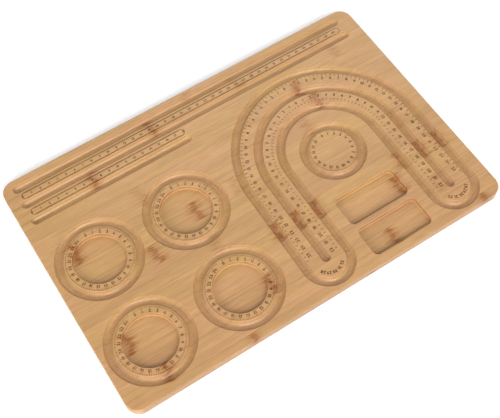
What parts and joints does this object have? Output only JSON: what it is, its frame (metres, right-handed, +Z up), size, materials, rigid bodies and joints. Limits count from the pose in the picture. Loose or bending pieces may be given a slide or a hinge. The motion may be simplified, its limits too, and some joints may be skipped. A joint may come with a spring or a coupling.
{
  "type": "bead design board",
  "caption": "Flat bamboo bead layout board with a milled necklace arch, bracelet rings, straight ruler grooves and loose-bead pockets.",
  "frame": {"origin": "middle of the underside, on the surface that the board lies on", "axes": "+X along the long side and the bamboo's grain, +Y towards the straight rulers, +Z up through the board's thickness, out of its milled face"},
  "size_m": [0.438, 0.286, 0.012],
  "materials": {
    "bamboo_face": "satin lacquer",
    "bamboo_back": "satin lacquer",
    "burnt_engraving": "matt, burnt by the laser"
  },
  "bodies": {
    "root": {"lower_strip_01": "bamboo_back", "lower_strip_02": "bamboo_back", "lower_strip_03": "bamboo_back", "lower_strip_04": "bamboo_back", "lower_strip_05": "bamboo_back", "lower_strip_06": "bamboo_back", "lower_strip_07": "bamboo_back", "lower_strip_08": "bamboo_back", "lower_strip_09": "bamboo_back", "lower_strip_10": "bamboo_back", "lower_strip_11": "bamboo_back", "lower_strip_12": "bamboo_back", "lower_strip_13": "bamboo_back", "upper_strip_01": "bamboo_face", "upper_strip_02": "bamboo_face", "upper_strip_03": "bamboo_face", "upper_strip_04": "bamboo_face", "upper_strip_05": "bamboo_face", "upper_strip_06": "bamboo_face", "upper_strip_07": "bamboo_face", "upper_strip_08": "bamboo_face", "upper_strip_09": "bamboo_face", "upper_strip_10": "bamboo_face", "upper_strip_11": "bamboo_face", "upper_strip_12": "bamboo_face", "upper_strip_13": "bamboo_face", "upper_strip_14": "bamboo_face"}
  },
  "joints": []
}
